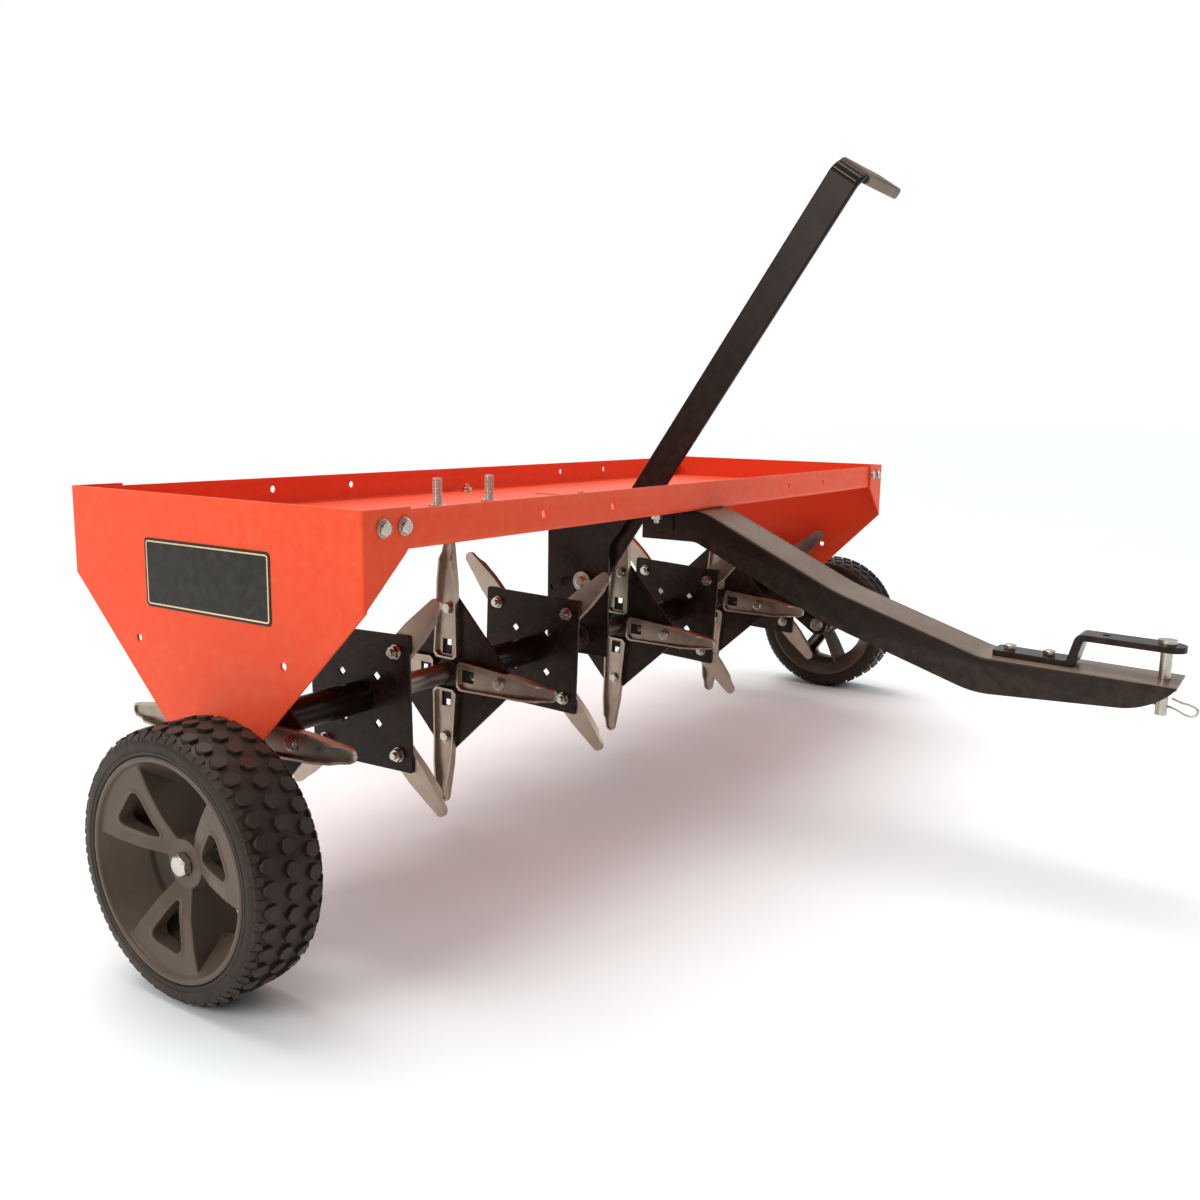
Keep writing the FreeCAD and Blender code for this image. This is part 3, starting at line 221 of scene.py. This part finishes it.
def steel(name, color, deep, rough, grain=(1.0, 1.0, 1.0), stain=(0.30, 0.24, 0.18), stain_share=0.25):
    """Bare or plated steel: streaks along the grain, cloudy tone and dark stains."""
    s = Shader(name, Metallic=1.0, Specular_IOR_Level=0.5)
    streak = s.noise(260.0, 5.0, 0.6, s.stretch(grain))
    cloud = s.noise(38.0, 4.0)
    tone = s.mix(s.remap(cloud, 0.3, 0.7), deep, color)
    tone = s.mix(s.remap(streak, 0.35, 0.75, 0.0, 0.35), tone, deep)
    blot = s.remap(s.noise(75.0, 6.0, 0.65), 0.55, 0.75, 0.0, stain_share)
    tone = s.mix(blot, tone, stain)
    tone = s.mix(s.math("MULTIPLY", s.edges(0.51, 0.56), 0.45), tone, tuple(min(1.0, c * 1.25) for c in color))
    gloss = s.remap(s.math("ADD", streak, cloud), 0.7, 1.3, rough - 0.07, rough + 0.12)
    normal = s.bump(streak, 0.12, 0.0003, s.bump(s.noise(900.0, 2.0), 0.06, 0.0003))
    return s.finish(tone, gloss, normal)


def moulded(name, color, deep, rough, grain_scale, grain_depth, dust_share, sheen=0.0):
    """Moulded plastic or rubber: fine grain, chalky dust on raised parts."""
    s = Shader(name, Sheen_Weight=sheen, Sheen_Roughness=0.5, Specular_IOR_Level=0.3, Specular_Tint=(1.0, 0.84, 0.72, 1.0))
    tone = s.mix(s.remap(s.noise(24.0, 4.0), 0.3, 0.7), deep, color)
    dust = s.math("MULTIPLY", s.remap(s.noise(60.0, 6.0, 0.65), 0.45, 0.8), dust_share)
    tone = s.mix(dust, tone, (0.30, 0.26, 0.22))
    tone = s.mix(s.math("MULTIPLY", s.edges(0.51, 0.56), 0.35), tone, tuple(min(1.0, c * 2.0) for c in color))
    gloss = s.remap(s.noise(45.0, 4.0), 0.3, 0.7, rough - 0.05, rough + 0.08)
    normal = s.bump(s.cells(grain_scale), 0.25, grain_depth, s.bump(s.noise(grain_scale * 0.2, 3.0), 0.15, grain_depth))
    return s.finish(tone, gloss, normal)


BLACK = ((0.0125, 0.0085, 0.0062), (0.0095, 0.0064, 0.0047), (0.080, 0.056, 0.043))
MATERIALS = {
    "orange_paint": painted("orange_powder_coat", (0.88, 0.078, 0.026), (0.84, 0.070, 0.022), (0.88, 0.16, 0.07), 0.38, 0.0, 0.22,
                            (1.0, 0.55, 0.42, 1.0)),
    "black_paint": painted("black_powder_coat", *BLACK, 0.27, 0.0, 0.16),
    "tine_steel": steel("tine_steel", (0.46, 0.375, 0.30), (0.30, 0.24, 0.19), 0.34, (1.0, 0.25, 0.25)),
    "zinc": steel("bright_zinc", (0.60, 0.555, 0.49), (0.40, 0.365, 0.32), 0.26, stain=(0.45, 0.36, 0.24), stain_share=0.2),
    "shaft_steel": steel("drawn_tube", (0.40, 0.355, 0.32), (0.26, 0.23, 0.205), 0.34, (0.04, 1.0, 1.0)),
    "nylon": moulded("black_nylon", (0.030, 0.026, 0.023), (0.022, 0.019, 0.017), 0.42, 1500.0, 0.0001, 0.08),
    "rim_plastic": moulded("rim_plastic", (0.098, 0.070, 0.050), (0.078, 0.055, 0.040), 0.34, 1300.0, 0.00008, 0.04),
    "tyre": moulded("tyre_rubber", (0.020, 0.0128, 0.0090), (0.013, 0.0086, 0.0062), 0.46, 900.0, 0.00015, 0.06),
    "grip": moulded("grip_vinyl", (0.150, 0.110, 0.080), (0.105, 0.078, 0.057), 0.48, 1100.0, 0.00012, 0.08),
    "badge": painted("badge_face", (0.008, 0.007, 0.006), (0.006, 0.0055, 0.005), (0.05, 0.045, 0.04), 0.30, 0.0, 0.25),
}
# the tongue's coat carries the painted sheen on its upward faces as well as the crease lines
tongue_paint_painted_sheen = painted("tongue_coat_painted_sheen", *BLACK, 0.26, 0.0, 0.22, creases_and_painted_sheen=True)
# pale ridge paint: a painted highlight standing in for the reflections along the lever's bend ridges
ridge_highlight_paint = painted("ridge_painted_highlight", (0.20, 0.155, 0.125), (0.13, 0.10, 0.08), (0.30, 0.25, 0.21), 0.35, 0.0, 0.4)
gold = steel("gold_edging", (0.78, 0.60, 0.36), (0.62, 0.46, 0.26), 0.30)


# ------------------------------------------------------------------ CAD nodes with eased edges
def eased(node, width, segments=2, material=None):
    """A copy of a CAD node whose sharp edges are rounded, standing for that node."""
    mesh = NODES[node].data.copy()
    piece = add_mesh(node + "_eased", mesh)
    bm = bmesh.new()
    bm.from_mesh(mesh)
    bmesh.ops.remove_doubles(bm, verts=bm.verts, dist=2e-6)
    bmesh.ops.dissolve_limit(bm, angle_limit=math.radians(0.6), verts=bm.verts, edges=bm.edges)
    bm.to_mesh(mesh)
    bm.free()
    if mesh.has_custom_normals:
        mesh.normals_split_custom_set([(0.0, 0.0, 0.0)] * len(mesh.loops))
    bevel = piece.modifiers.new("ease", "BEVEL")
    bevel.limit_method = "ANGLE"
    bevel.angle_limit = math.radians(32.0)
    bevel.width = width
    bevel.segments = segments
    bevel.use_clamp_overlap = True
    bevel.miter_outer = "MITER_ARC"
    bake(piece)
    for face in piece.data.polygons:
        face.use_smooth = True
    piece.data.set_sharp_from_angle(angle=math.radians(50.0))
    weighted = piece.modifiers.new("weigh", "WEIGHTED_NORMAL")
    weighted.keep_sharp = True
    weighted.weight = 90
    bake(piece)
    paint(piece, material or MATERIALS[SLOT[node]])
    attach(piece, BODY[node])
    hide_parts(node)
    return piece


def moulded_copy(node, voxel, rounds):
    """A copy of a CAD node with every edge softened as a mould leaves it."""
    mesh = NODES[node].data.copy()
    bm = bmesh.new()
    bm.from_mesh(mesh)
    bmesh.ops.remove_doubles(bm, verts=bm.verts, dist=2e-6)
    bm.to_mesh(mesh)
    bm.free()
    piece = add_mesh(node + "_moulded", mesh)
    remesh = piece.modifiers.new("remesh", "REMESH")
    remesh.mode = "VOXEL"
    remesh.voxel_size = voxel
    soften = piece.modifiers.new("soften", "SMOOTH")
    soften.factor = 0.5
    soften.iterations = rounds
    thin = piece.modifiers.new("thin", "DECIMATE")
    thin.ratio = 0.4
    bake(piece)
    smooth(piece, 60.0)
    paint(piece, MATERIALS[SLOT[node]])
    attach(piece, BODY[node])
    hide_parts(node)
    return piece


# ------------------------------------------------------------------ tyres
KNOB_ROWS = 39
KNOB_COLUMNS = ((-23.5, 0.0), (0.0, 0.5), (23.5, 0.0))      # distance from the middle, share of a pitch
KNOB_RADIUS = 7.4
AROUND = 234


def crown(x):
    """Radius below the full tread radius at a distance from the tyre's middle, in millimetres."""
    x = abs(x)
    if x < 24.0:
        return 0.0
    if x < 31.0:
        return 1.7 * (x - 24.0) / 7.0
    return 1.7 + 5.3 * (x - 31.0) / 5.5


def make_tyre(node):
    low, high, centre = size_of(node)
    radius = (high.z - low.z) / 2.0 / MM
    half = (high.x - low.x) / 2.0 / MM
    bm = bmesh.new()

    def place(x, r, angle):
        return bm.verts.new((centre.x + x * MM, centre.y + r * MM * math.cos(angle), centre.z + r * MM * math.sin(angle)))

    groove = radius - 3.6
    bead = 103.9
    side = [(-half + 4.0, 98.2), (-half + 3.6, bead - 0.6), (-half + 2.6, bead), (-half + 0.9, bead + 0.3), (-half + 0.2, bead + 1.4),
            (-half + 0.05, 107.2), (-half + 0.6, 107.8), (-half + 0.6, 109.0), (-half + 0.05, 109.6), (-half + 0.15, 113.0),
            (-half + 0.9, 116.6), (-half + 2.2, 119.6), (-half + 4.4, 121.4), (-half + 8.0, groove - 1.0), (-half + 14.0, groove - 0.2),
            (-half + 24.0, groove)]
    profile = side + [(-x, r) for x, r in reversed(side)]
    rings = []
    for i in range(AROUND):
        angle = 2.0 * math.pi * i / AROUND
        rings.append([place(x, r, angle) for x, r in profile])
    for i in range(AROUND):
        here, there = rings[i], rings[(i + 1) % AROUND]
        for j in range(len(profile)):
            k = (j + 1) % len(profile)
            bm.faces.new((here[j], here[k], there[k], there[j]))

    def knob(x0, angle0, outline, top_drop=0.0):
        """A block standing on the tread, from its outline as (x, along) points."""
        layers = ((1.07, -5.2), (1.0, -0.5), (0.955, 0.0))
        loops = []
        for grow, drop in layers:
            loop = []
            for dx, dy in outline:
                x = x0 + dx * grow
                r = radius - crown(x) - top_drop + drop
                loop.append(place(x, r, angle0 + dy * grow / radius))
            loops.append(loop)
        count = len(outline)
        for lower, upper in zip(loops[:-1], loops[1:]):
            for i in range(count):
                j = (i + 1) % count
                bm.faces.new((lower[i], lower[j], upper[j], upper[i]))
        bm.faces.new(loops[-1])
        bm.faces.new(loops[0][::-1])

    hexagon = []
    for i in range(6):
        for turn in (-7.0, 7.0):
            angle = math.radians(60.0 * i + turn)
            hexagon.append((KNOB_RADIUS * math.cos(angle), KNOB_RADIUS * math.sin(angle)))
    stub = [(3.4 * math.cos(math.radians(30.0 * i)), 4.0 * math.sin(math.radians(30.0 * i))) for i in range(12)]
    bar = [(-1.5, -4.4), (1.5, -4.4), (1.5, 4.4), (-1.5, 4.4)]
    for row in range(KNOB_ROWS):
        for x, share in KNOB_COLUMNS:
            knob(x, 2.0 * math.pi * (row + share) / KNOB_ROWS, hexagon)
        for side in (-1.0, 1.0):
            knob(side * 33.6, 2.0 * math.pi * (row + 0.5) / KNOB_ROWS, stub)
            knob(side * 35.2, 2.0 * math.pi * row / KNOB_ROWS, bar, 0.4)
    piece = from_bmesh(node + "_tread", bm)
    smooth(piece, 24.0)
    paint(piece, MATERIALS["tyre"])
    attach(piece, BODY[node])
    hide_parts(node)


# ------------------------------------------------------------------ threads
def thread(name, centre_x, centre_y, z_low, z_high, radius, pitch, body, slot, node=None):
    """An upright threaded post with a chamfered top."""
    bm = bmesh.new()
    turns, steps = 36, 6
    rows = int((z_high - z_low) / pitch * steps)
    rings = []
    depth = pitch * 0.42
    for j in range(rows + 1):
        z = z_low + (z_high - z_low) * j / rows
        ring = []
        for i in range(turns):
            phase = (j / steps - i / turns) % 1.0
            cut = depth * abs(2.0 * phase - 1.0)
            lead = min(1.0, (z_high - z) / (pitch * 0.9))
            r = radius - max(cut, depth * (1.0 - lead))
            angle = 2.0 * math.pi * i / turns
            ring.append(bm.verts.new((centre_x + r * math.cos(angle), centre_y + r * math.sin(angle), z)))
        rings.append(ring)
    for a, b in zip(rings[:-1], rings[1:]):
        for i in range(turns):
            k = (i + 1) % turns
            bm.faces.new((a[i], a[k], b[k], b[i]))
    bm.faces.new(rings[-1])
    bm.faces.new(rings[0][::-1])
    piece = from_bmesh(name, bm)
    smooth(piece, 40.0)
    paint(piece, MATERIALS[slot])
    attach(piece, body)
    if node:
        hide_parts(node)
    return piece


def solids_of(node):
    """Boxes of a node's separate solids, from its connected mesh islands."""
    bm = bmesh.new()
    bm.from_mesh(NODES[node].data)
    bmesh.ops.remove_doubles(bm, verts=bm.verts, dist=2e-6)
    seen, boxes = set(), []
    for start in bm.verts:
        if start in seen:
            continue
        stack, island = [start], []
        seen.add(start)
        while stack:
            vert = stack.pop()
            island.append(vert.co.copy())
            for edge in vert.link_edges:
                other = edge.other_vert(vert)
                if other not in seen:
                    seen.add(other)
                    stack.append(other)
        low = Vector([min(p[i] for p in island) for i in range(3)])
        high = Vector([max(p[i] for p in island) for i in range(3)])
        boxes.append((low, high))
    bm.free()
    return boxes


# ------------------------------------------------------------------ badge edging
def badge_edging():
    """A thin gold line round each side badge."""
    bm = bmesh.new()
    for low, high in solids_of("side_badges"):
        outer_face = low.x if low.x < 0.0 else high.x
        proud = -0.00015 if low.x < 0.0 else 0.00015
        rings = []
        for inset, corner in ((0.0026, 0.0034), (0.0041, 0.0022)):
            outline = []
            for sy, sz in ((-1, -1), (1, -1), (1, 1), (-1, 1)):
                cy = (high.y - inset - corner) if sy > 0 else (low.y + inset + corner)
                cz = (high.z - inset - corner) if sz > 0 else (low.z + inset + corner)
                first = {(-1, -1): 180.0, (1, -1): 270.0, (1, 1): 0.0, (-1, 1): 90.0}[(sy, sz)]
                for k in range(7):
                    angle = math.radians(first + 15.0 * k)
                    outline.append((cy + corner * math.cos(angle), cz + corner * math.sin(angle)))
            rings.append(outline)
        layers = []
        for x in (outer_face + proud, outer_face - proud):
            for outline in rings:
                layers.append([bm.verts.new((x, y, z)) for y, z in outline])
        count = len(rings[0])
        for i in range(count):
            k = (i + 1) % count
            for a, b in ((0, 1), (1, 3), (3, 2), (2, 0)):
                bm.faces.new((layers[a][i], layers[a][k], layers[b][k], layers[b][i]))
    piece = from_bmesh("badge_edging", bm)
    piece.data.materials.append(gold)
    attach(piece, BODY["side_badges"])


# ------------------------------------------------------------------ wire clip and lever ridges
def tube(name, path, radius, sides=12):
    """A round wire along a list of points, with rounded ends."""
    bm = bmesh.new()
    rings = []
    count = len(path)
    for i, point in enumerate(path):
        ahead = (path[min(i + 1, count - 1)] - path[max(i - 1, 0)]).normalized()
        across = Vector((1.0, 0.0, 0.0))
        over = ahead.cross(across).normalized()
        thick = radius * (0.6 if i in (0, count - 1) else 1.0)
        ring = []
        for k in range(sides):
            angle = 2.0 * math.pi * k / sides
            ring.append(bm.verts.new(point + across * (thick * math.cos(angle)) + over * (thick * math.sin(angle))))
        rings.append(ring)
    for a, b in zip(rings[:-1], rings[1:]):
        for k in range(sides):
            j = (k + 1) % sides
            bm.faces.new((a[k], a[j], b[j], b[k]))
    bm.faces.new(rings[0][::-1])
    bm.faces.new(rings[-1])
    return smooth(from_bmesh(name, bm), 60.0)


def flowing(points, steps=7):
    """A smooth line through the points."""
    line = []
    padded = [points[0]] + points + [points[-1]]
    for p, q, r, s in zip(padded[:-3], padded[1:-2], padded[2:-1], padded[3:]):
        for i in range(steps):
            t = i / steps
            line.append(0.5 * (2.0 * q + (r - p) * t + (2.0 * p - 5.0 * q + 4.0 * r - s) * t * t
                               + (3.0 * q - p - 3.0 * r + s) * t ** 3))
    line.append(points[-1])
    return line


def wire_clip():
    """The hairpin through the hitch pin: one straight leg, a round eye and a spring leg."""
    pin_low, pin_high, pin = size_of("hitch_pin")
    clip_low, clip_high, _ = size_of("hitch_clip")
    hole_z = clip_high.z - 0.0110
    shape = ((12.0, 1.2), (6.0, 0.4), (0.0, 0.0), (-8.0, -0.8), (-16.0, -3.4), (-25.0, -7.6), (-32.0, -7.8), (-36.0, -4.0),
             (-34.5, 1.2), (-28.0, 4.2), (-20.0, 5.6), (-14.0, 7.6), (-9.5, 9.2))
    points = [Vector((pin.x, pin.y + y * MM, hole_z + z * MM)) for y, z in shape]
    clip = paint(tube("hitch_clip_wire", flowing(points), 0.0014), MATERIALS["zinc"])
    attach(clip, BODY["hitch_clip"])
    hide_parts("hitch_clip")


LEVER_TILT = math.radians(34.3)
LEVER_THICK = 0.008
BEND_RADIUS = 0.020


def lever_ridges():
    """Three low ridges pressed across the outside of the lever's bend; their pale paint is a painted highlight."""
    lever_low, _, _ = size_of("lift_lever")
    _, _, grip = size_of("lever_grip")
    along = Vector((0.0, -math.sin(LEVER_TILT), math.cos(LEVER_TILT)))
    across = Vector((0.0, -math.cos(LEVER_TILT), -math.sin(LEVER_TILT)))
    pivot = Vector((lever_low.x + BEND_RADIUS, grip.y, grip.z)) - along * (BEND_RADIUS - LEVER_THICK / 2.0)
    for index, degrees in enumerate((22.0, 45.0, 68.0)):
        angle = math.radians(degrees)
        centre = pivot + Vector((-math.cos(angle), 0.0, 0.0)) * BEND_RADIUS + along * (BEND_RADIUS * math.sin(angle))
        bm = bmesh.new()
        bmesh.ops.create_cone(bm, cap_ends=True, segments=16, radius1=0.0008, radius2=0.0008, depth=0.036)
        turn = across.to_track_quat("Z", "Y").to_matrix().to_4x4()
        bm.transform(Matrix.Translation(centre) @ turn)
        ridge = smooth(from_bmesh("lever_ridge_%d" % (index + 1), bm))
        # pale paint on the ridge is a painted highlight
        paint(ridge, ridge_highlight_paint)
        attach(ridge, BODY["lift_lever"])


# ------------------------------------------------------------------ build
EASE = {"side_badges": 0.00025, "hitch_strap": 0.0012, "lift_lever": 0.0003, "tongue": 0.0006, "tray": 0.0005,
        "left_end_panel": 0.0005, "right_end_panel": 0.0005, "center_hanger": 0.0005, "hitch_pin": 0.0006}
for spool in range(1, 5):
    EASE["spool_%d_tines" % spool] = 0.0007
    EASE["spool_%d_frame" % spool] = 0.0004
EASE["lever_grip"] = 0.0055
SPECIAL = {"left_tyre", "right_tyre", "left_rim", "right_rim", "ballast_studs", "hitch_clip"}
for node in sorted(NODES):
    if node in SPECIAL:
        continue
    width = EASE.get(node, 0.0003)
    eased(node, width, 5 if width > 0.002 else 2, tongue_paint_painted_sheen if node == "tongue" else None)

make_tyre("left_tyre")
make_tyre("right_tyre")
moulded_copy("left_rim", 0.0011, 4)
moulded_copy("right_rim", 0.0011, 4)
for index, (low, high) in enumerate(solids_of("ballast_studs")):
    middle = (low + high) / 2.0
    stud = thread("ballast_stud_%d" % (index + 1), middle.x, middle.y, low.z, high.z, (high.x - low.x) / 2.0, 0.00175,
                  BODY["ballast_studs"], "zinc", "ballast_studs")
badge_edging()
wire_clip()
lever_ridges()

# ------------------------------------------------------------------ floor, light and camera
bm = bmesh.new()
bmesh.ops.create_grid(bm, x_segments=8, y_segments=8, size=60.0)
floor = from_bmesh("floor", bm)
ground = Shader("pale_floor", Specular_IOR_Level=0.2)
tint = ground.mix(ground.remap(ground.noise(1.2, 3.0), 0.3, 0.7), (0.885, 0.915, 0.92), (0.90, 0.93, 0.935))
floor.data.materials.append(ground.finish(tint, ground.remap(ground.noise(4.0), 0.3, 0.7, 0.65, 0.75)))

BACKDROP = (0.54, 0.81, 0.22)       # towards the bright wall behind the machine
world = bpy.data.worlds.new("studio")
bpy.context.scene.world = world
world.use_nodes = True
tree = world.node_tree
background = tree.nodes["Background"]
coord = tree.nodes.new("ShaderNodeTexCoord")
split = tree.nodes.new("ShaderNodeSeparateXYZ")
tree.links.new(coord.outputs["Generated"], split.inputs[0])


def ramp(value, low, high, strength):
    node = tree.nodes.new("ShaderNodeMapRange")
    node.interpolation_type = "SMOOTHSTEP"
    tree.links.new(value, node.inputs[0])
    for socket, item in zip(list(node.inputs)[1:5], (low, high, 0.0, strength)):
        socket.default_value = item
    return node.outputs["Result"]


facing = tree.nodes.new("ShaderNodeVectorMath")
facing.operation = "DOT_PRODUCT"
tree.links.new(coord.outputs["Generated"], facing.inputs[0])
facing.inputs[1].default_value = BACKDROP
sky = tree.nodes.new("ShaderNodeMath")
sky.operation = "MAXIMUM"
tree.links.new(ramp(split.outputs["Z"], 0.30, 0.95, 1.0), sky.inputs[0])
tree.links.new(ramp(facing.outputs["Value"], 0.35, 0.85, 0.90), sky.inputs[1])
path = tree.nodes.new("ShaderNodeLightPath")
choose = tree.nodes.new("ShaderNodeMix")
choose.data_type = "FLOAT"
tree.links.new(path.outputs["Is Camera Ray"], choose.inputs[0])
tree.links.new(sky.outputs[0], choose.inputs[2])
choose.inputs[3].default_value = 1.03
tree.links.new(choose.outputs[0], background.inputs["Strength"])
background.inputs["Color"].default_value = (1.0, 0.99, 0.98, 1.0)


def sun(name, direction, strength, angle):
    data = bpy.data.lights.new(name, "SUN")
    data.energy = strength
    data.angle = math.radians(angle)
    lamp = bpy.data.objects.new(name, data)
    lamp.rotation_euler = Vector(direction).to_track_quat("-Z", "Y").to_euler()
    bpy.context.scene.collection.objects.link(lamp)


def softbox(name, place, target, size, power):
    data = bpy.data.lights.new(name, "AREA")
    data.shape = "RECTANGLE"
    data.size, data.size_y = size
    data.energy = power
    lamp = bpy.data.objects.new(name, data)
    lamp.location = place
    lamp.rotation_euler = (Vector(target) - Vector(place)).to_track_quat("-Z", "Y").to_euler()
    bpy.context.scene.collection.objects.link(lamp)


tray_low, tray_high, tray_middle = size_of("tray")
sun("overhead", (-0.12, -0.42, -1.0), 1.5, 42.0)
softbox("left_box", (-3.2, tray_middle.y + 0.6, 1.6), (-0.6, tray_middle.y, 0.4), (1.6, 1.6), 44.0)
softbox("right_box", (1.5, tray_middle.y - 1.5, 1.0), (0.5, tray_middle.y - 0.2, 0.42), (0.9, 0.9), 8.0)

AZIMUTH, ELEVATION, ROLL = (math.radians(v) for v in (-56.6555, 9.645, 0.9782))
back = Vector((math.sin(AZIMUTH) * math.cos(ELEVATION), -math.cos(AZIMUTH) * math.cos(ELEVATION), math.sin(ELEVATION)))
level = Vector((math.cos(AZIMUTH), math.sin(AZIMUTH), 0.0))
upright = back.cross(level)
right = math.cos(ROLL) * level + math.sin(ROLL) * upright
up = math.cos(ROLL) * upright - math.sin(ROLL) * level
lens = bpy.data.cameras.new("photo_view")
lens.sensor_width = 36.0
lens.lens = 33.504
lens.clip_end = 200.0
view = bpy.data.objects.new("photo_view", lens)
bpy.context.scene.collection.objects.link(view)
pose = Matrix((right, up, back)).transposed().to_4x4()
pose.translation = Vector((-1.34339, tray_middle.y - 0.92011, 0.53289))
view.matrix_world = pose
bpy.context.scene.camera = view
bpy.context.scene.view_settings.view_transform = "Standard"
